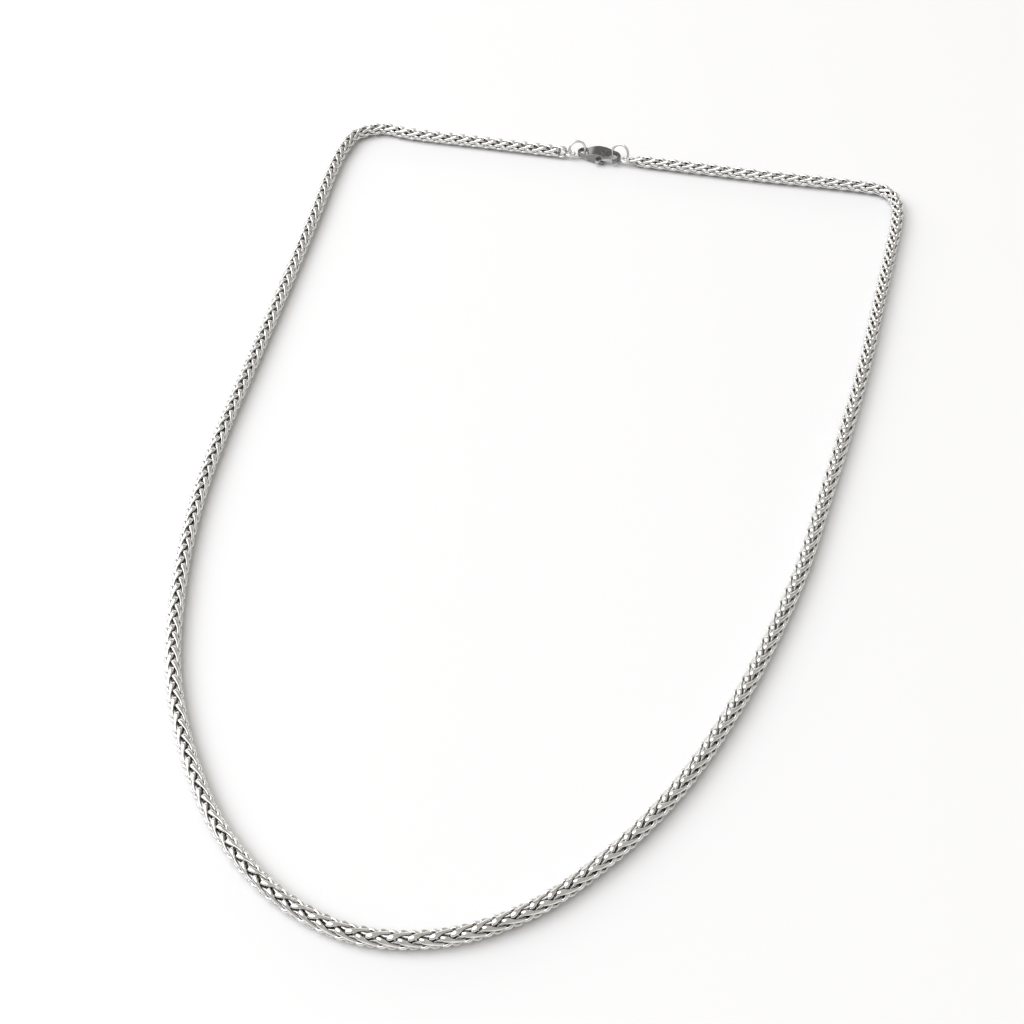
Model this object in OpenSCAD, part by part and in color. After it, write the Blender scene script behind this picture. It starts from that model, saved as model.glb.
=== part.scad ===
// Woven steel neck chain with a lobster clasp, fastened and laid open on a flat surface.
// X runs along the back run that holds the clasp, Y points from the front drop to the clasp.

/* [Chain] */
// Width and height of the woven chain across its flat sides
chain_w = 2.75; // [2.6:0.05:2.85]

/* [End links] */
// Outer diameter of the flat link that ends the chain on each side
link_d = 2.6; // [2.5:0.05:2.7]
// Wire thickness of the end links
link_wire = 0.6; // [0.5:0.05:0.65]

/* [Rings] */
// Outer diameter of the ring between the chain and the clasp's eye
clasp_ring_d = 4.5; // [4.4:0.05:4.6]
// Outer diameter of the ring that the hook holds
end_ring_d = 4.9; // [4.8:0.05:5]
// Wire thickness of both rings
ring_wire = 0.6; // [0.55:0.05:0.6]
// Lean of both rings back from upright, in degrees
ring_lean = 20; // [16:1:22]
// Turn of each ring seen from above, which sets the clasp back behind the chain's line, in degrees
ring_turn = 20; // [18:1:21]

/* [Clasp] */
// Thickness of the clasp's belly, which lies on the surface
clasp_t = 2.6; // [2.6:0.05:2.8]
// Thickness of the clasp at its eye and at its hook
eye_t = 0.9; // [0.8:0.05:0.9]
// Length of the thick belly, from where it starts to rise to where it ends
belly_l = 6.2; // [5.8:0.1:6.4]
// Outer radius of the hook end
hook_r = 2.35; // [2.3:0.05:2.4]
// Thickness of the hook's wall, seen from above
hook_wall = 0.75; // [0.7:0.05:0.8]
// Outer radius of the eye
eye_r = 1.6; // [1.6:0.05:1.7]
// Radius of the eye's hole
eye_hole_r = 1.05; // [1.05:0.05:1.1]

/* [Lever] */
// Thickness of the sprung lever
lever_t = 0.7; // [0.6:0.05:0.75]
// Width of the lever's arm
lever_w = 0.7; // [0.6:0.05:0.75]
// Radius of the pivot pin
pin_r = 0.3; // [0.25:0.01:0.32]

/* [Hidden] */
steel = [0.62, 0.62, 0.63];
bright_steel = [0.74, 0.74, 0.75];
dark_steel = [0.42, 0.42, 0.43];

// Centre line of the chain, seen from above, from the right end link round the front to the left one
route = [
    [3, 103], [16, 103], [36, 103], [52, 103.5], [59, 103.5], [63, 103], [65.5, 100.5], [66.5, 96.5],
    [66.5, 91.5], [65.5, 80], [63.5, 59], [61.5, 39], [59, 20], [56, 0], [53, -19], [49, -36],
    [43.5, -54], [36.5, -70.5], [28, -84], [18, -95], [6, -102], [-7, -104], [-19.5, -100.5],
    [-31, -92.5], [-41.5, -80], [-50, -65], [-56, -47], [-60, -28], [-62, -9], [-63, 13], [-64, 37],
    [-65.5, 66], [-66.5, 82], [-66.5, 93], [-65, 100], [-60, 103.5], [-53, 103], [-34, 103], [-13.5, 103]
];
chain_sides = 8;
steps = 2;
spans = len(route) - 1;
chain_z = chain_w / 2;
back_y = route[0].y;

// Gap left between neighbouring pieces, and between the moving lever and its slot
gap = 0.1;
pin_gap = 0.05;
seat_gap = 0.01;

// Places along the clasped stretch, each worked out from the piece before it
link_r = (link_d - link_wire) / 2;
right_link_x = route[0].x - gap - link_d / 2;
left_link_x = route[spans].x + gap + link_d / 2;
clasp_z = clasp_t / 2;
end_ring_r = (end_ring_d - ring_wire) / 2;
clasp_ring_r = (clasp_ring_d - ring_wire) / 2;
end_ring_z = ring_height(end_ring_r);
clasp_ring_z = ring_height(clasp_ring_r);

// Seen from above, the direction along each ring and the direction in which it leans
end_way = [cos(ring_turn), -sin(ring_turn)];
end_back = [sin(ring_turn), cos(ring_turn)];
clasp_way = [cos(ring_turn), sin(ring_turn)];
clasp_back = [-sin(ring_turn), cos(ring_turn)];
end_ring_at = [right_link_x, back_y] - ring_reach(end_ring_r, end_ring_z, chain_z) * end_way
    + (end_ring_z - chain_z) * tan(ring_lean) * end_back;
clasp_ring_at = [left_link_x, back_y] + ring_reach(clasp_ring_r, clasp_ring_z, chain_z) * clasp_way
    + (clasp_ring_z - chain_z) * tan(ring_lean) * clasp_back;

// The hook's centre lies to the left and front of the wire that it holds, the eye's centre close beside
// its wire
held_x = 0.2;
held_y = 0.7;
eye_shift = 0.08;
held_wire = end_ring_at - ring_reach(end_ring_r, end_ring_z, clasp_z) * end_way
    - (end_ring_z - clasp_z) * tan(ring_lean) * end_back;
hook = held_wire - [held_x, held_y];
eye_wire = clasp_ring_at + ring_reach(clasp_ring_r, clasp_ring_z, clasp_z) * clasp_way
    - (clasp_ring_z - clasp_z) * tan(ring_lean) * clasp_back;
eye = eye_wire - [eye_shift, 0] - hook;

// Shapes inside the clasp, measured from the hook's centre
hook_inner_r = hook_r - hook_wall;
hole_back = [-1.1, 0.35];
hole_back_r = 0.95;
gate_left = -1.5;
gate_right = 0.55;
gate_top = -0.5;
pivot = [-2.45, -0.95];
boss_r = 0.8;
arm_end = [0.3, -1.1];
tab_end = [-3.05, -2.55];
tab_r = 0.45;
arc_steps = 24;
slot_t = lever_t + 2 * gap;
belly_x = eye.x * 0.44;
crown_r = crown_radius(belly_l / 2, (clasp_t - eye_t) / 2);

// Height of a leaning ring's centre above the surface
function ring_height(r) = r * cos(ring_lean) + ring_wire / 2;

// Level distance from a leaning ring's centre to its wire, at height z
function ring_reach(r, z_centre, z) = r * sqrt(1 - pow((z_centre - z) / (r * cos(ring_lean)), 2));

// Radius of the arc that falls by drop over the length reach
function crown_radius(reach, drop) = (reach * reach + drop * drop) / (2 * drop);

// Direction of the centre line at point i, weighted by the lengths of the spans beside it
function span(i) = norm(route[i + 1] - route[i]);
function way(i) = (route[i + 1] - route[i]) / span(i);
function heading(i) =
    i == 0 ? way(0) :
    i == spans ? way(spans - 1) :
    (way(i - 1) * span(i) + way(i) * span(i - 1)) / (span(i - 1) + span(i));

// Point and direction on span i, where t runs from 0 to 1
function place(i, t) =
    (2 * pow(t, 3) - 3 * pow(t, 2) + 1) * route[i] +
    (pow(t, 3) - 2 * pow(t, 2) + t) * span(i) * heading(i) +
    (3 * pow(t, 2) - 2 * pow(t, 3)) * route[i + 1] +
    (pow(t, 3) - pow(t, 2)) * span(i) * heading(i + 1);
function drift(i, t) =
    (6 * pow(t, 2) - 6 * t) * (route[i] - route[i + 1]) +
    (3 * pow(t, 2) - 4 * t + 1) * span(i) * heading(i) +
    (3 * pow(t, 2) - 2 * t) * span(i) * heading(i + 1);

// Every station as a point and a unit direction
stations = concat(
    [for (i = [0 : spans - 1]) for (k = [0 : steps - 1]) [place(i, k / steps), drift(i, k / steps)]],
    [[place(spans - 1, 1), drift(spans - 1, 1)]]
);

// One ring of corners across the tube at a station, with a flat side down
corner_r = chain_w / 2 / cos(180 / chain_sides);
function ring_of(s) = [
    for (k = [0 : chain_sides - 1])
        let (
            a = 180 / chain_sides + 360 * k / chain_sides,
            side = [s[1].y, -s[1].x] / norm(s[1]),
            across = corner_r * cos(a),
            up = corner_r * sin(a)
        )
        [s[0].x + side.x * across, s[0].y + side.y * across, chain_z + up]
];

module swept_tube() {
    count = len(stations);
    corners = [for (s = stations) each ring_of(s)];
    walls = [
        for (i = [0 : count - 2])
            for (k = [0 : chain_sides - 1])
                let (n = (k + 1) % chain_sides)
                each [
                    [i * chain_sides + k, (i + 1) * chain_sides + k, (i + 1) * chain_sides + n],
                    [i * chain_sides + k, (i + 1) * chain_sides + n, i * chain_sides + n]
                ]
    ];
    first_cap = [for (k = [0 : chain_sides - 1]) k];
    last_cap = [for (k = [chain_sides - 1 : -1 : 0]) (count - 1) * chain_sides + k];
    polyhedron(points = corners, faces = concat(walls, [first_cap], [last_cap]));
}

module wire_ring(r, wire) {
    rotate_extrude($fn = 64)
        translate([r, 0])
            circle(d = wire, $fn = 32);
}

module leaning_ring(at, z, turn, r) {
    translate([at.x, at.y, z])
        rotate([90 - ring_lean, 0, turn])
            wire_ring(r, ring_wire);
}

// Flat outline that wraps a circle at a and a circle at b, with its round ends cut into short straight sides
function arc_points(c, r, start, sweep) = [
    for (k = [0 : arc_steps])
        c + r * [cos(start + sweep * k / arc_steps), sin(start + sweep * k / arc_steps)]
];

module wrapped(a, ra, b, rb) {
    lift = asin((ra - rb) / norm(b - a));
    turn = atan2((b - a).y, (b - a).x);
    polygon(concat(
        arc_points(a, ra, turn + 90 - lift, 180 + 2 * lift),
        arc_points(b, rb, turn - 90 + lift, 180 - 2 * lift)
    ));
}

module clasp_outline() {
    difference() {
        wrapped([0, 0], hook_r, eye, eye_r);
        wrapped([0, 0], hook_inner_r, hole_back, hole_back_r);
        translate(eye)
            circle(r = eye_hole_r, $fn = 48);
        translate([gate_left, -2 * hook_r])
            square([gate_right - gate_left, 2 * hook_r + gate_top]);
    }
}

// The clasp's thickness seen from the side: a lens for the belly on a thin strap for the eye and the hook
module crown() {
    rotate([90, 0, 0])
        translate([0, 0, -2 * hook_r])
            linear_extrude(4 * hook_r) {
                intersection() {
                    translate([belly_x, clasp_t / 2 - crown_r])
                        circle(r = crown_r, $fn = 128);
                    translate([belly_x, crown_r - clasp_t / 2])
                        circle(r = crown_r, $fn = 128);
                }
                translate([eye.x - 2 * eye_r, -eye_t / 2])
                    square([2 * eye_r - eye.x + 2 * hook_r, eye_t]);
            }
}

module chain() {
    color(steel)
        swept_tube();
}

module left_link() {
    color(steel)
        translate([left_link_x, back_y, chain_z])
            wire_ring(link_r, link_wire);
}

module right_link() {
    color(steel)
        translate([right_link_x, back_y, chain_z])
            wire_ring(link_r, link_wire);
}

module clasp_ring() {
    color(bright_steel)
        leaning_ring(clasp_ring_at, clasp_ring_z, ring_turn, clasp_ring_r);
}

module end_ring() {
    color(bright_steel)
        leaning_ring(end_ring_at, end_ring_z, -ring_turn, end_ring_r);
}

module clasp_body() {
    color(dark_steel)
        translate([hook.x, hook.y, clasp_z])
            difference() {
                intersection() {
                    translate([0, 0, -clasp_t])
                        linear_extrude(2 * clasp_t)
                            clasp_outline();
                    crown();
                }
                translate([pivot.x - boss_r - 2 * gap, -2 * hook_r, -slot_t / 2])
                    cube([
                        gate_left - pivot.x + boss_r + 3 * gap,
                        2 * hook_r + pivot.y + boss_r + 2 * gap,
                        slot_t
                    ]);
                translate([pivot.x, pivot.y, -clasp_t])
                    cylinder(r = pin_r + seat_gap, h = 2 * clasp_t, $fn = 32);
            }
}

module clasp_pin() {
    pin_l = clasp_t - 4 * gap;
    color(bright_steel)
        translate([hook.x + pivot.x, hook.y + pivot.y, clasp_z - pin_l / 2])
            cylinder(r = pin_r, h = pin_l, $fn = 32);
}

module clasp_lever() {
    color(bright_steel)
        translate([hook.x, hook.y, clasp_z - lever_t / 2])
            linear_extrude(lever_t)
                difference() {
                    union() {
                        wrapped(pivot, boss_r, arm_end, lever_w / 2);
                        wrapped(pivot, boss_r, tab_end, tab_r);
                    }
                    translate(pivot)
                        circle(r = pin_r + pin_gap, $fn = 32);
                }
}

chain();
left_link();
right_link();
clasp_ring();
end_ring();
clasp_body();
clasp_pin();
clasp_lever();
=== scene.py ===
import math

import bpy
import numpy as np
from mathutils import Matrix, Vector


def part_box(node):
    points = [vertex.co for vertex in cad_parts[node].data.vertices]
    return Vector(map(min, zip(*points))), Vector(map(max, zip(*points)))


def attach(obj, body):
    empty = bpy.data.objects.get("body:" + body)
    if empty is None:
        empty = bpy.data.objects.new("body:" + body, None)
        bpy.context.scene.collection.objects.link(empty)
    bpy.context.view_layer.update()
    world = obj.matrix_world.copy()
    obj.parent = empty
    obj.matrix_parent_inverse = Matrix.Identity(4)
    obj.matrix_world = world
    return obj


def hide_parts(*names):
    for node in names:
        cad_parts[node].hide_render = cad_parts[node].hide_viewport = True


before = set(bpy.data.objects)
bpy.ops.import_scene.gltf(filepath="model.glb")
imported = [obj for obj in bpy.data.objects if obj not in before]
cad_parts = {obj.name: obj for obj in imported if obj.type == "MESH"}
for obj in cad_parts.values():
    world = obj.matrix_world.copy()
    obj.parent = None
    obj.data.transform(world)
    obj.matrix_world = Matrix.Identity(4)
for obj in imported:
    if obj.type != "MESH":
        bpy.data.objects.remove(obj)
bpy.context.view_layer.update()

MM = 0.001
BODY = "necklace"
LEVER_BODY = "lever"

# Camera: it looks down at the laid-out chain from the front drop, turned a little to the left
CAMERA_PLACE = (0.03699, -0.19629, 0.2027)
CAMERA_TILT = 42.5
CAMERA_TURN = 12.0
FOCAL_PX = 1450
IMAGE_PX = 1024
SENSOR_MM = 36.0
NEAREST_SEEN = 0.01
FARTHEST_SEEN = 20


def make_camera():
    data = bpy.data.cameras.new("camera")
    data.sensor_width = SENSOR_MM
    data.lens = FOCAL_PX * SENSOR_MM / IMAGE_PX
    data.clip_start = NEAREST_SEEN
    data.clip_end = FARTHEST_SEEN
    camera = bpy.data.objects.new("camera", data)
    camera.location = CAMERA_PLACE
    camera.rotation_euler = (math.radians(CAMERA_TILT), 0, math.radians(CAMERA_TURN))
    bpy.context.scene.collection.objects.link(camera)
    bpy.context.scene.camera = camera


# The chain's centre line, seen from above in millimetres, from the right end round the front to the left
ROUTE_MM = np.array([
    (3, 103), (16, 103), (36, 103), (52, 103.5), (59, 103.5), (63, 103), (65.5, 100.5), (66.5, 96.5),
    (66.5, 91.5), (65.5, 80), (63.5, 59), (61.5, 39), (59, 20), (56, 0), (53, -19), (49, -36),
    (43.5, -54), (36.5, -70.5), (28, -84), (18, -95), (6, -102), (-7, -104), (-19.5, -100.5),
    (-31, -92.5), (-41.5, -80), (-50, -65), (-56, -47), (-60, -28), (-62, -9), (-63, 13), (-64, 37),
    (-65.5, 66), (-66.5, 82), (-66.5, 93), (-65, 100), (-60, 103.5), (-53, 103), (-34, 103), (-13.5, 103),
], float)
ROUTE_STEPS = 40


def hermite(points, headings, lengths, steps):
    """Points along the smooth curve through the given points, steps of them to each span."""
    made = []
    for i, length in enumerate(lengths):
        a, b = points[i], points[(i + 1) % len(points)]
        ha, hb = headings[i] * length, headings[(i + 1) % len(points)] * length
        for t in np.arange(steps) / steps:
            made.append((2 * t**3 - 3 * t**2 + 1) * a + (t**3 - 2 * t**2 + t) * ha
                        + (3 * t**2 - 2 * t**3) * b + (t**3 - t**2) * hb)
    return np.array(made)


def open_curve(points, steps):
    """The smooth curve from the first point to the last."""
    spans = np.diff(points, axis=0)
    lengths = np.linalg.norm(spans, axis=1)
    ways = spans / lengths[:, None]
    headings = np.vstack([ways[:1], np.zeros((len(points) - 2, points.shape[1])), ways[-1:]])
    before, after = lengths[:-1, None], lengths[1:, None]
    headings[1:-1] = (ways[:-1] * after + ways[1:] * before) / (before + after)
    return np.vstack([hermite(points, headings, lengths, steps), points[-1:]])


def closed_curve(points, steps):
    """The smooth curve through all points and back to the first."""
    spans = np.roll(points, -1, 0) - points
    lengths = np.linalg.norm(spans, axis=1)
    ways = spans / lengths[:, None]
    before, after = np.roll(lengths, 1)[:, None], lengths[:, None]
    headings = (np.roll(ways, 1, 0) * after + ways * before) / (before + after)
    return hermite(points, headings, lengths, steps)


class Line:
    """The centre line, read by distance along it."""

    def __init__(self, points):
        self.points = points
        steps = np.linalg.norm(np.diff(points, axis=0), axis=1)
        self.at = np.r_[0, np.cumsum(steps)]
        self.length = self.at[-1]
        ways = np.gradient(points, self.at, axis=0)
        self.ways = ways / np.linalg.norm(ways, axis=1)[:, None]

    def place(self, s):
        """Points and unit directions at distances s, straight on past both ends."""
        inside = np.clip(s, 0, self.length)
        point = np.stack([np.interp(inside, self.at, self.points[:, k]) for k in (0, 1)], -1)
        way = np.stack([np.interp(inside, self.at, self.ways[:, k]) for k in (0, 1)], -1)
        way /= np.linalg.norm(way, axis=-1, keepdims=True)
        return point + way * (s - inside)[..., None], way


line = Line(open_curve(ROUTE_MM, ROUTE_STEPS))

# One link, in wire diameters: each row is a point of one leg on one face of the chain. The two legs of a
# face cross, the first over the second, and each turns in at its own corner. Wire and pitch in millimetres
WIRE = 0.56
PITCH = 3.13
#    along, out, across
OVER_LEG = np.array([
    (-0.45, 0.00, -0.50),
    (-0.35, 0.80, -0.50),
    (0.25, 1.48, -0.52),
    (1.00, 1.78, -0.50),
    (1.90, 1.90, -0.32),
    (2.60, 1.94, -0.08),
    (3.30, 1.96, 0.22),
    (4.00, 1.98, 0.58),
    (4.70, 2.00, 0.95),
    (5.30, 1.90, 1.18),
    (5.95, 1.45, 1.15),
    (6.50, 0.92, 0.62),
    (6.62, 0.80, 0.00),
])
UNDER_LEG = np.array([
    (-0.45, 0.00, -0.50),
    (-0.35, 0.80, -0.50),
    (0.20, 1.30, -0.54),
    (0.95, 1.36, -0.48),
    (1.80, 1.20, -0.22),
    (2.80, 1.28, 0.26),
    (3.80, 1.62, 0.68),
    (4.60, 1.90, 1.00),
    (5.25, 1.90, 1.19),
    (5.95, 1.45, 1.15),
    (6.50, 0.92, 0.62),
    (6.62, 0.80, 0.00),
])
LINK_STATIONS = 68
LINK_SIDES = 12
CURVE_STEPS = 6
BEND_WEIGHT = 1.2
ANY_WAY = (0.3, 0.2, 0.9)


def whole_link():
    """One link's closed loop: up one leg, round the crown and down the other, on each face in turn."""
    up = OVER_LEG
    down = UNDER_LEG[::-1][1:] * (1, 1, -1)
    far_up = OVER_LEG[1:] * (1, -1, -1)
    far_down = UNDER_LEG[::-1][1:-1] * (1, -1, 1)
    return np.vstack([up, down, far_up, far_down])


def spread_stations(loop, count):
    """count points round a closed loop, closer together where it bends."""
    step = np.roll(loop, -1, 0) - loop
    length = np.linalg.norm(step, axis=1)
    way = step / length[:, None]
    turn = np.linalg.norm(way - np.roll(way, 1, 0), axis=1)
    weight = length + BEND_WEIGHT * (turn + np.roll(turn, -1)) / 2
    at = np.r_[0, np.cumsum(weight)]
    wanted = np.arange(count) / count * at[-1]
    closed = np.vstack([loop, loop[:1]])
    return np.stack([np.interp(wanted, at, closed[:, k]) for k in range(3)], -1)


def turning_frames(loop):
    """Two unit vectors across the loop at each point, carried along it without twist and closed evenly."""
    ways = np.roll(loop, -1, 0) - np.roll(loop, 1, 0)
    ways /= np.linalg.norm(ways, axis=1)[:, None]
    first = np.cross(ways[0], ANY_WAY)
    first /= np.linalg.norm(first)
    carried = [first]
    for way in np.vstack([ways[1:], ways[:1]]):
        side = carried[-1] - way * (carried[-1] @ way)
        carried.append(side / np.linalg.norm(side))
    last = carried.pop()
    miss = math.atan2(np.cross(first, last) @ ways[0], first @ last)
    sides = []
    for i, side in enumerate(carried):
        a = -miss * i / len(carried)
        sides.append(side * math.cos(a) + np.cross(ways[i], side) * math.sin(a))
    sides = np.array(sides)
    return sides, np.cross(ways, sides)


def loop_tube(loop, radius, sides):
    """Corners and quads of a round wire along a closed loop."""
    one, two = turning_frames(loop)
    angle = 2 * math.pi * np.arange(sides) / sides
    ring = one[:, None] * np.cos(angle)[None, :, None] + two[:, None] * np.sin(angle)[None, :, None]
    corners = (loop[:, None] + radius * ring).reshape(-1, 3)
    i = np.arange(len(loop))[:, None] * sides
    j = (np.arange(len(loop))[:, None] + 1) % len(loop) * sides
    k = np.arange(sides)[None]
    n = (k + 1) % sides
    quads = np.stack([i + k, i + n, j + n, j + k], -1).reshape(-1, 4)
    return corners, quads


# The finished chain was rolled: its wires are a little flat outside. Each leg widens like a leaf
# towards its knuckle, where the link turns in at the corner and shows a broad low dome
FLAT_AT = 1.26
FLAT_FROM = 0.7
RISE = 0.058
DOME_TOP = 1.49
DOME_MIDDLE = 2.72
DOME_CURVE = 1.3
LEFT_PROUD = 0.12
SPREAD = 0.5
LEAF = 0.45
LEAF_FROM = 1.1
LEAF_TO = 2.8
LEAF_REACH = (0.75, 1.05)
NEAR_MIDDLE = 0.1
# Painted shade darkens the gaps between the wires, from the first reach down to the second
PAINTED_SHADE_REACH = (-1.24, -0.90)


def smooth(value, low, high):
    """Runs smoothly from 0 at low to 1 at high."""
    t = np.clip((value - low) / (high - low), 0, 1)
    return t * t * (3 - 2 * t)


def outer_limit(along):
    """How far from the chain's middle the rolled surface lies, by distance along a straight link."""
    flat = FLAT_AT + RISE * np.clip(along - FLAT_FROM, 0, DOME_MIDDLE - FLAT_FROM)
    return np.maximum(flat, DOME_TOP - (along - DOME_MIDDLE) ** 2 / (2 * DOME_CURVE))


def pressed(loop, corners, sides):
    """Widens a straight link's tube towards its knuckles and flattens it where it stands out too far."""
    centre = np.repeat(loop, sides, axis=0)
    reach = np.hypot(centre[:, 1], centre[:, 2])
    outward = centre * (0, 1, 1) / np.maximum(reach, NEAR_MIDDLE)[:, None]
    cut = np.maximum(reach + WIRE / 2 - outer_limit(centre[:, 0]), 0) / (WIRE / 2)
    wide = 1 + SPREAD * cut + LEAF * smooth(centre[:, 0], LEAF_FROM, LEAF_TO) * smooth(reach, *LEAF_REACH)
    offset = corners - centre
    straight_out = outward * (offset * outward).sum(1)[:, None]
    corners = centre + straight_out + (offset - straight_out) * wide[:, None]
    reach = np.hypot(corners[:, 1], corners[:, 2])
    limit = outer_limit(corners[:, 0])
    kept = np.minimum(reach, limit + LEFT_PROUD * (reach - limit)) / reach
    return corners * np.stack([np.ones(len(corners)), kept, kept], -1)


# How the weave lies along the chain: at each share of the length, its turn about its own line in degrees
#    share, turn
LAY = np.array([
    (0.000, 42),
    (0.105, 42),
    (0.140, 73),
    (0.195, 73),
    (0.260, 45),
    (0.297, 33),
    (0.376, 38),
    (0.440, 47),
    (0.493, 71),
    (0.525, 69),
    (0.550, 63),
    (0.575, 54),
    (0.600, 45),
    (0.650, 31),
    (0.700, 24),
    (0.765, 21),
    (0.830, 56),
    (0.900, 60),
    (0.935, 28),
    (1.000, 24),
])
# Each link is a little out of place, by a turn in degrees and a shift along the chain in millimetres
SEED = 7
JITTER_TURN = 1.2
JITTER_ALONG = 0.02
# The first link's base lies this far along the line, and the last one's this far before its end
FIRST_BASE = -0.24
LAST_BASE = 3.41


def weave_places():
    """Distance along the line of each link's base, both rows counted together, and half the pitch used."""
    woven = line.length - LAST_BASE - FIRST_BASE
    half_pitches = round(woven / (PITCH / 2))
    half_pitch = woven / half_pitches
    return FIRST_BASE + half_pitch * np.arange(half_pitches + 1), half_pitch


def shape_link(corners, base, stretch, turn):
    """Bends a straight link's corners to the line, starting at its base."""
    s = base + corners[:, 0] * stretch
    point, way = line.place(s)
    side = np.stack([way[:, 1], -way[:, 0]], -1)
    roll = np.radians(np.interp(s / line.length, LAY[:, 0], LAY[:, 1]) + turn)
    across = corners[:, 1] * np.cos(roll) - corners[:, 2] * np.sin(roll)
    up = corners[:, 1] * np.sin(roll) + corners[:, 2] * np.cos(roll)
    height = rest_height(roll)
    return np.stack([point[:, 0] + side[:, 0] * across, point[:, 1] + side[:, 1] * across, height + up], -1)


ROLLS = np.radians(np.arange(0, 181))


def rest_heights():
    """For each turn of the weave, how high its middle is when its lowest wire touches the surface."""
    both = np.vstack([template, mirrored])
    return np.array([-(both[:, 1] * math.sin(a) + both[:, 2] * math.cos(a)).min() for a in ROLLS])


def rest_height(roll):
    return np.interp(np.mod(roll, math.pi), ROLLS, REST)


def mesh_piece(name, corners, faces, material, inside=None):
    """A smooth object from corners in millimetres; inside says for each how deep it lies in the weave."""
    mesh = bpy.data.meshes.new(name)
    mesh.from_pydata((corners * MM).tolist(), [], faces)
    mesh.polygons.foreach_set("use_smooth", np.ones(len(mesh.polygons), bool))
    if inside is not None:
        values = mesh.attributes.new("inside", "FLOAT", "POINT")
        values.data.foreach_set("value", inside.astype(np.float32))
    mesh.materials.append(material)
    mesh.update()
    piece = bpy.data.objects.new(name, mesh)
    bpy.context.scene.collection.objects.link(piece)
    return piece


# Polished steel: fine noise varies its gloss and dents it faintly, broad noise shades its tone
FINE_SCALE = 2600
FINE_DETAIL = 3
FINE_SPAN = (0.3, 0.75)
ROUGH_SPAN = (0.75, 1.5)
BROAD_SCALE = 420
BROAD_DETAIL = 2
BROAD_SPAN = (0.3, 0.7)
DARKER = 0.86
PAINTED_SHADE_COLOUR = (0.10, 0.097, 0.093, 1)
BUMP_STRENGTH = 0.12
BUMP_DEPTH = 0.00002


def steel(name, colour, roughness, painted_shade=0.0):
    """A steel of this colour and gloss, darkened as painted shade by this strength where the mesh says
    inside.
    """
    material = bpy.data.materials.new(name)
    material.use_nodes = True
    tree = material.node_tree
    tree.nodes.clear()
    add = tree.nodes.new
    link = tree.links.new
    out = add("ShaderNodeOutputMaterial")
    shader = add("ShaderNodeBsdfPrincipled")
    shader.inputs["Metallic"].default_value = 1.0
    link(shader.outputs["BSDF"], out.inputs["Surface"])
    coords = add("ShaderNodeTexCoord")
    fine = add("ShaderNodeTexNoise")
    fine.inputs["Scale"].default_value = FINE_SCALE
    fine.inputs["Detail"].default_value = FINE_DETAIL
    link(coords.outputs["Object"], fine.inputs["Vector"])
    rough = add("ShaderNodeMapRange")
    rough.inputs["From Min"].default_value = FINE_SPAN[0]
    rough.inputs["From Max"].default_value = FINE_SPAN[1]
    rough.inputs["To Min"].default_value = roughness * ROUGH_SPAN[0]
    rough.inputs["To Max"].default_value = roughness * ROUGH_SPAN[1]
    link(fine.outputs["Fac"], rough.inputs["Value"])
    link(rough.outputs["Result"], shader.inputs["Roughness"])
    broad = add("ShaderNodeTexNoise")
    broad.inputs["Scale"].default_value = BROAD_SCALE
    broad.inputs["Detail"].default_value = BROAD_DETAIL
    link(coords.outputs["Object"], broad.inputs["Vector"])
    tone = add("ShaderNodeValToRGB")
    tone.color_ramp.elements[0].position = BROAD_SPAN[0]
    tone.color_ramp.elements[0].color = (*[c * DARKER for c in colour], 1)
    tone.color_ramp.elements[1].position = BROAD_SPAN[1]
    tone.color_ramp.elements[1].color = (*colour, 1)
    link(broad.outputs["Fac"], tone.inputs["Fac"])
    # Painted shade: the colour is mixed towards a dark grey where the wires lie deep inside the weave
    if painted_shade:
        inside = add("ShaderNodeAttribute")
        inside.attribute_name = "inside"
        mix = add("ShaderNodeMix")
        mix.data_type = "RGBA"
        mix.inputs["B"].default_value = PAINTED_SHADE_COLOUR
        amount = add("ShaderNodeMath")
        amount.operation = "MULTIPLY"
        amount.inputs[1].default_value = painted_shade
        link(inside.outputs["Fac"], amount.inputs[0])
        link(amount.outputs["Value"], mix.inputs["Factor"])
        link(tone.outputs["Color"], mix.inputs["A"])
        link(mix.outputs["Result"], shader.inputs["Base Color"])
    else:
        link(tone.outputs["Color"], shader.inputs["Base Color"])
    bump = add("ShaderNodeBump")
    bump.inputs["Strength"].default_value = BUMP_STRENGTH
    bump.inputs["Distance"].default_value = BUMP_DEPTH
    link(fine.outputs["Fac"], bump.inputs["Height"])
    link(bump.outputs["Normal"], shader.inputs["Normal"])
    return material


# The chain's steel carries painted shade, darker in the gaps between its wires
chain_steel = steel("chain_steel", (0.88, 0.875, 0.862), 0.15, painted_shade=0.65)
ring_steel = steel("ring_steel", (0.93, 0.93, 0.935), 0.17)
# Painted shade: the clasp's steel is given a dark colour that stands in for the dark room its polished
# faces reflect
clasp_steel = steel("clasp_steel", (0.27, 0.27, 0.275), 0.12)
lever_steel = steel("lever_steel", (0.6, 0.6, 0.605), 0.14)

# The straight link of one row, and its mirror image, which is the other row's
template_loop = spread_stations(closed_curve(whole_link(), CURVE_STEPS), LINK_STATIONS) * WIRE
template, template_quads = loop_tube(template_loop, WIRE / 2, LINK_SIDES)
template = pressed(template_loop, template, LINK_SIDES)
mirrored = template[:, [0, 2, 1]]
mirrored_quads = template_quads[:, ::-1]
REST = rest_heights()
# How deep each corner lies in the weave: the mask for the painted shade between the wires
painted_shade_depth = smooth(-np.hypot(template[:, 1], template[:, 2]), *PAINTED_SHADE_REACH)

CHAIN_PIECES = 6


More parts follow.
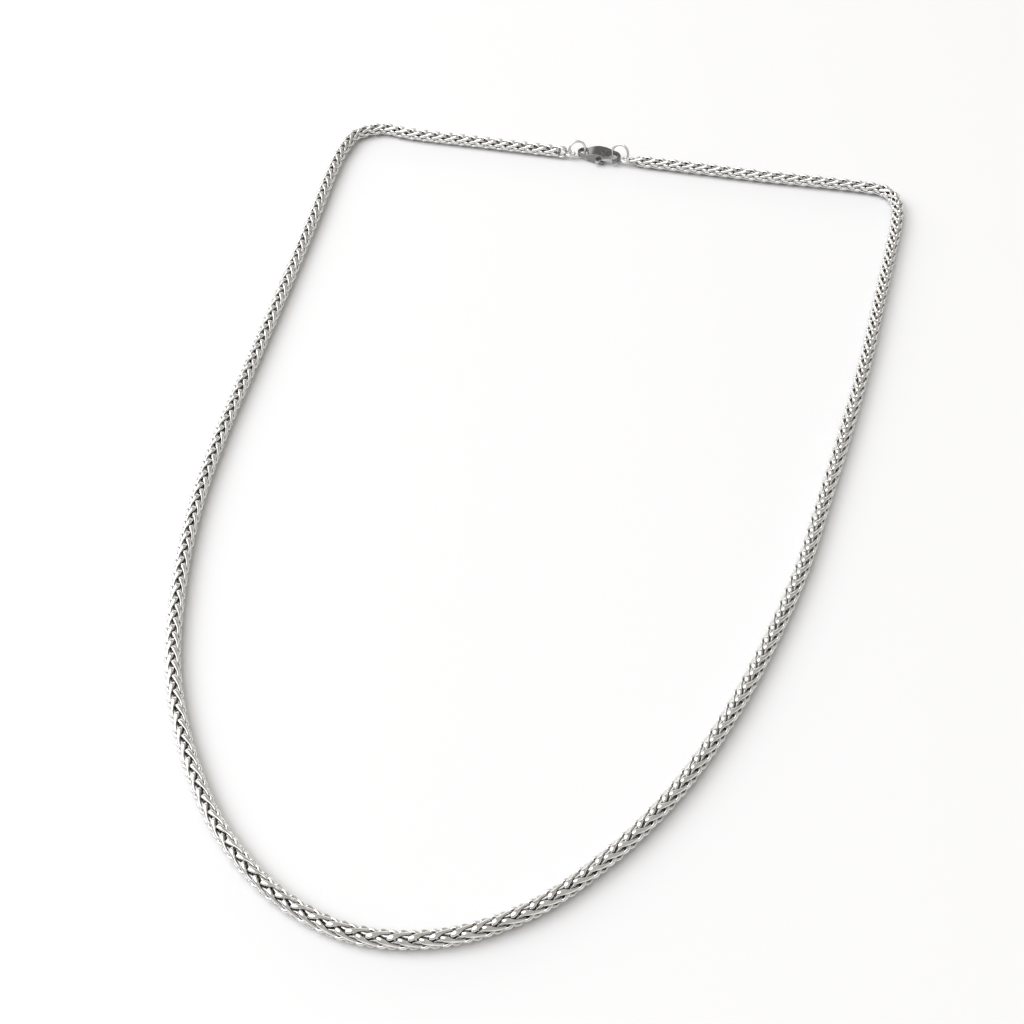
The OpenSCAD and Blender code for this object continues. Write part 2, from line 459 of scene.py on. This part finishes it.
def make_chain():
    """All links of both rows, joined into a few pieces."""
    bases, half_pitch = weave_places()
    stretch = 2 * half_pitch / PITCH
    noise = np.random.default_rng(SEED)
    turns = noise.normal(0, JITTER_TURN, len(bases))
    shifts = noise.normal(0, JITTER_ALONG, len(bases))
    groups = np.array_split(np.arange(len(bases)), CHAIN_PIECES)
    for number, group in enumerate(groups, 1):
        corners, quads = [], []
        for k in group:
            shape, faces = (mirrored, mirrored_quads) if k % 2 else (template, template_quads)
            quads.append(faces + len(corners) * len(template))
            corners.append(shape_link(shape, bases[k] + shifts[k], stretch, turns[k]))
        piece = mesh_piece(f"weave_{number}", np.vstack(corners), np.vstack(quads).tolist(), chain_steel,
                           np.tile(painted_shade_depth, len(group)))
        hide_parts("chain")
        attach(piece, BODY)


# Rings and end links of round wire: cut ends meet in a jump ring, and solder closes an end link
RING_WIRE = 0.6
RING_STEPS = 96
RING_SIDES = 20
# A jump ring's joint: its opening in degrees, how far each end lies out of line across and outwards, how
# near the ends that begins, and how far the cut edges are eased
JOINT_OPEN = 1.5
JOINT_ACROSS = 0.07
JOINT_OUT = 0.035
JOINT_POWER = 5
END_SOFT = 0.05
# An end link's solder bead: the share by which it thickens the wire, and its half width in degrees
BEAD = 0.06
BEAD_WIDTH = 16.0


def bent_wire(centres, outs, ups, radii, closed):
    """Corners and faces of a round wire through the given places, with plain cut ends if it is open."""
    angle = 2 * math.pi * np.arange(RING_SIDES) / RING_SIDES
    ring = outs[:, None] * np.cos(angle)[None, :, None] + ups[:, None] * np.sin(angle)[None, :, None]
    corners = (centres[:, None] + radii[:, None, None] * ring).reshape(-1, 3)
    count = len(centres)
    faces = []
    for i in range(count if closed else count - 1):
        a, b = i * RING_SIDES, (i + 1) % count * RING_SIDES
        for k in range(RING_SIDES):
            n = (k + 1) % RING_SIDES
            faces.append([a + k, a + n, b + n, b + k])
    if not closed:
        faces.append(list(range(RING_SIDES)))
        faces.append(list(range((count - 1) * RING_SIDES, count * RING_SIDES))[::-1])
    return corners, faces


def make_ring(name, middle, radius, lean, turn, mark, soldered):
    """A ring of wire: soldered with a low bead at the mark, or cut there with ends a little out of line."""
    if soldered:
        degrees = np.arange(RING_STEPS) * 360.0 / RING_STEPS
        away = (degrees - mark + 180) % 360 - 180
        radii = RING_WIRE / 2 * (1 + BEAD * np.exp(-(away / BEAD_WIDTH) ** 2))
        slip = np.zeros(RING_STEPS)
    else:
        degrees = mark + np.linspace(JOINT_OPEN / 2, 360 - JOINT_OPEN / 2, RING_STEPS)
        from_end = np.minimum(degrees - degrees[0], degrees[-1] - degrees) * math.pi / 180 * radius
        radii = RING_WIRE / 2 - END_SOFT * (1 - smooth(from_end, 0, END_SOFT * 2))
        slip = np.linspace(-1, 1, RING_STEPS) ** JOINT_POWER
    a = np.radians(degrees)
    flat = np.zeros(RING_STEPS)
    outs = np.stack([np.cos(a), np.sin(a), flat], -1)
    ups = np.stack([flat, flat, flat + 1], -1)
    centres = outs * (radius + JOINT_OUT * slip[:, None]) + ups * JOINT_ACROSS * slip[:, None]
    corners, faces = bent_wire(centres, outs, ups, radii, soldered)
    turned = Matrix.Rotation(math.radians(turn), 3, "Z") @ Matrix.Rotation(math.radians(lean), 3, "X")
    corners = corners @ np.array(turned).T + middle
    return mesh_piece(name, corners, faces, ring_steel)


#    node, radius to the wire's middle, degrees up from lying flat, turn seen from above, place of the
#    joint, whether it is soldered
RINGS = [
    ("left_link", 1.0, 0, 0, 90, True),
    ("right_link", 1.0, 0, 0, 250, True),
    ("clasp_ring", 1.95, 70, 20, 62, False),
    ("end_ring", 2.15, 70, -20, 100, False),
]


def make_rings():
    for node, radius, lean, turn, mark, soldered in RINGS:
        low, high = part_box(node)
        middle = (np.array(low) + np.array(high)) / 2 / MM
        piece = make_ring(node + "_wire", middle, radius, lean, turn, mark, soldered)
        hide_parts(node)
        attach(piece, BODY)


# How finely the clasp's pieces are remeshed, in millimetres, and how often their edges are eased
BODY_VOXEL = 0.055
BODY_PASSES = 14
LEVER_VOXEL = 0.035
LEVER_PASSES = 10
EASING = 0.5


def softened(name, node, voxel, passes):
    """A finely remeshed copy of a plain node, its edges eased round as tumbling and polishing do."""
    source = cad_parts[node]
    mesh = source.data.copy()
    mesh.transform(Matrix.Scale(1 / MM, 4) @ source.matrix_world)
    piece = bpy.data.objects.new(name, mesh)
    bpy.context.scene.collection.objects.link(piece)
    remesh = piece.modifiers.new("remesh", "REMESH")
    remesh.mode = "VOXEL"
    remesh.voxel_size = voxel
    remesh.use_smooth_shade = True
    eased_edges = piece.modifiers.new("eased_edges", "SMOOTH")
    eased_edges.factor = EASING
    eased_edges.iterations = passes
    evaluated = piece.evaluated_get(bpy.context.evaluated_depsgraph_get())
    made = bpy.data.meshes.new_from_object(evaluated)
    made.transform(Matrix.Scale(MM, 4))
    made.materials.clear()
    piece.modifiers.clear()
    piece.data = made
    return piece


def finish_piece(piece, node, material, body):
    piece.data.materials.append(material)
    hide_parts(node)
    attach(piece, body)


# Pivot pin: half its profile as radius and height from its middle, in millimetres, with a peened head
PIN_PROFILE = [
    (0.12, 1.10), (0.20, 1.085), (0.26, 1.05), (0.295, 0.99), (0.30, 0.92), (0.30, 0.5), (0.30, 0.0),
]
PIN_SIDES = 32


def make_pin():
    low, high = (np.array(c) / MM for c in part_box("clasp_pin"))
    middle = (low + high) / 2
    rows = PIN_PROFILE + [(r, -h) for r, h in PIN_PROFILE[-2::-1]]
    angle = 2 * math.pi * np.arange(PIN_SIDES) / PIN_SIDES
    rings = [np.stack([r * np.cos(angle), r * np.sin(angle), 0 * angle + h], -1) for r, h in rows]
    last_ring = (len(rows) - 1) * PIN_SIDES
    faces = [list(range(PIN_SIDES)), list(range(last_ring, last_ring + PIN_SIDES))[::-1]]
    for i in range(len(rows) - 1):
        for k in range(PIN_SIDES):
            n = (k + 1) % PIN_SIDES
            a, b = i * PIN_SIDES, (i + 1) * PIN_SIDES
            faces.append([a + k, b + k, b + n, a + n])
    piece = mesh_piece("pivot_pin", np.vstack(rings) + middle, faces, clasp_steel)
    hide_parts("clasp_pin")
    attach(piece, BODY)


def make_clasp():
    body = softened("polished_body", "clasp_body", BODY_VOXEL, BODY_PASSES)
    finish_piece(body, "clasp_body", clasp_steel, BODY)
    thumb_lever = softened("thumb_lever", "clasp_lever", LEVER_VOXEL, LEVER_PASSES)
    finish_piece(thumb_lever, "clasp_lever", lever_steel, LEVER_BODY)


FLOOR_SIZE = 8
FLOOR_COLOUR = (0.9, 0.9, 0.908, 1)
FLOOR_ROUGHNESS = 0.6
FLOOR_SHEEN = 0.2


def make_floor():
    bpy.ops.mesh.primitive_plane_add(size=FLOOR_SIZE)
    floor = bpy.context.object
    floor.name = "floor"
    material = bpy.data.materials.new("pale_floor")
    material.use_nodes = True
    shader = material.node_tree.nodes["Principled BSDF"]
    shader.inputs["Base Color"].default_value = FLOOR_COLOUR
    shader.inputs["Roughness"].default_value = FLOOR_ROUGHNESS
    shader.inputs["Specular IOR Level"].default_value = FLOOR_SHEEN
    floor.data.materials.append(material)


# The room: two soft lamps high on the left, a band of daylight low on the left and behind, and walls that
# are brightest overhead and a little towards the front right. Walls and band fade between two cosines: of
# the angle to their own way, and for the band's top and foot of the angle to straight up
ROOM_WAY = (0.34, -0.26, 1.0)
ROOM_SPAN = (-0.6, 1.0)
ROOM_DIM = 0.24
ROOM_BRIGHT = 0.53
BAND_WAY = (-0.62, 0.78, 0.0)
BAND_SPAN = (0.30, 0.80)
BAND_TOP = (0.34, 0.47)
BAND_FOOT = (0.04, 0.18)
BAND_BRIGHT = 1.2
UP = (0, 0, 1)
ROOM_COLOUR = (1.0, 0.967, 0.905)
WINDOW_FAR = 2.5
WINDOW_COLOUR = (0.985, 1.0, 1.035)
#    name, towards, half width and half height in degrees, radiance
WINDOWS = [
    ("high_window", (-0.52, -0.07, 0.85), 34, 32, 1.7),
    ("left_window", (-0.76, 0.05, 0.59), 19, 17, 2.8),
]


def window(name, way, half_width, half_height, radiance):
    """An oval lamp towards way, as wide and high as it looks from the chain."""
    width = 2 * WINDOW_FAR * math.tan(math.radians(half_width))
    height = 2 * WINDOW_FAR * math.tan(math.radians(half_height))
    data = bpy.data.lights.new(name, "AREA")
    data.shape = "ELLIPSE"
    data.size = width
    data.size_y = height
    # The power of an ellipse of this size that shines with this radiance
    data.energy = radiance * math.pi * math.pi * width * height / 4
    data.color = WINDOW_COLOUR
    light = bpy.data.objects.new(name, data)
    light.location = Vector(way).normalized() * WINDOW_FAR
    light.rotation_euler = light.location.to_track_quat("Z", "Y").to_euler()
    bpy.context.scene.collection.objects.link(light)


def eased(tree, value, low, high, to_low, to_high):
    """A node's value carried smoothly from one range to another."""
    ramp = tree.nodes.new("ShaderNodeMapRange")
    ramp.interpolation_type = "SMOOTHSTEP"
    ramp.inputs["From Min"].default_value = low
    ramp.inputs["From Max"].default_value = high
    ramp.inputs["To Min"].default_value = to_low
    ramp.inputs["To Max"].default_value = to_high
    tree.links.new(value, ramp.inputs["Value"])
    return ramp.outputs["Result"]


def along_way(tree, direction, way):
    """How nearly a direction points along way, from -1 to 1."""
    dot = tree.nodes.new("ShaderNodeVectorMath")
    dot.operation = "DOT_PRODUCT"
    dot.inputs[1].default_value = Vector(way).normalized()
    tree.links.new(direction, dot.inputs[0])
    return dot.outputs["Value"]


def combined(tree, operation, one, two):
    node = tree.nodes.new("ShaderNodeMath")
    node.operation = operation
    tree.links.new(one, node.inputs[0])
    tree.links.new(two, node.inputs[1])
    return node.outputs["Value"]


def make_room():
    """The light that comes from all round: the walls, and the low band added to them."""
    world = bpy.data.worlds.new("room")
    bpy.context.scene.world = world
    world.use_nodes = True
    tree = world.node_tree
    back = tree.nodes["Background"]
    direction = tree.nodes.new("ShaderNodeTexCoord").outputs["Generated"]
    walls = eased(tree, along_way(tree, direction, ROOM_WAY), *ROOM_SPAN, ROOM_DIM, ROOM_BRIGHT)
    side = eased(tree, along_way(tree, direction, BAND_WAY), *BAND_SPAN, 0, BAND_BRIGHT)
    low = eased(tree, along_way(tree, direction, UP), *BAND_TOP, 1, 0)
    above = eased(tree, along_way(tree, direction, UP), *BAND_FOOT, 0, 1)
    band = combined(tree, "MULTIPLY", combined(tree, "MULTIPLY", side, low), above)
    tree.links.new(combined(tree, "ADD", walls, band), back.inputs["Strength"])
    back.inputs["Color"].default_value = (*ROOM_COLOUR, 1)


def make_light():
    make_room()
    for name, way, half_width, half_height, radiance in WINDOWS:
        window(name, way, half_width, half_height, radiance)
    scene = bpy.context.scene
    scene.view_settings.view_transform = "Standard"
    scene.view_settings.look = "None"


make_camera()
make_floor()
make_light()
make_chain()
make_rings()
make_pin()
make_clasp()
